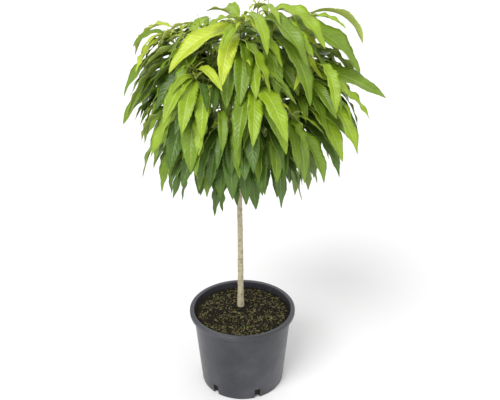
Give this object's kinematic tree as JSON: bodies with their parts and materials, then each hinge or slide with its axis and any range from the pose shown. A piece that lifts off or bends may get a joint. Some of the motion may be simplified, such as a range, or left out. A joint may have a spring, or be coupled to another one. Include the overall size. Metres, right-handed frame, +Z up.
{
  "type": "potted dwarf peach tree",
  "caption": "Potted dwarf peach tree in standard form: a slim grafted stem under a mop of long drooping leaves, in a round tapered grey nursery pot filled with soil.",
  "frame": {"origin": "middle of the pot's flat underside, on the ground that it stands on", "axes": "+Z up along the trunk, -Y the side of the crown that the picture shows, +X to the right of that side"},
  "size_m": [0.5567, 0.5046, 0.9404],
  "materials": {
    "pot_plastic": "dark grey plastic with a faint sheen",
    "soil": "dark brown peat with fibres",
    "bark": "pale tan bark with small knots",
    "green_bark": "young olive-green bark",
    "leaf_low": "deep green leaves",
    "leaf_middle": "mid-green leaves",
    "leaf_top": "lime-green young leaves",
    "leaf_centre": "lime-green young leaves"
  },
  "bodies": {
    "root": {"pot": "pot_plastic", "soil": "soil", "trunk": "bark", "bough_upper_front_left": "green_bark", "bough_upper_front": "green_bark", "bough_upper_right": "green_bark", "bough_upper_back_right": "green_bark", "bough_upper_back": "green_bark", "bough_upper_left": "green_bark", "bough_crown_leader": "green_bark", "bough_crown_right": "green_bark", "bough_crown_front": "green_bark", "bough_crown_left": "green_bark", "bough_crown_back_left": "green_bark", "bough_crown_back": "green_bark", "bough_crown_middle": "green_bark", "leaves_front": "leaf_low", "leaves_front_right": "leaf_low", "leaves_right": "leaf_low", "leaves_back": "leaf_low", "leaves_back_left": "leaf_low", "leaves_left": "leaf_low", "leaves_upper_front_left": "leaf_middle", "leaves_upper_front": "leaf_middle", "leaves_upper_right": "leaf_middle", "leaves_upper_back_right": "leaf_middle", "leaves_upper_back": "leaf_middle", "leaves_upper_left": "leaf_middle", "leaves_crown_leader": "leaf_top", "leaves_crown_right": "leaf_top", "leaves_crown_front": "leaf_top", "leaves_crown_left": "leaf_top", "leaves_crown_back_left": "leaf_top", "leaves_crown_back": "leaf_top", "leaves_crown_middle": "leaf_centre"}
  },
  "joints": []
}
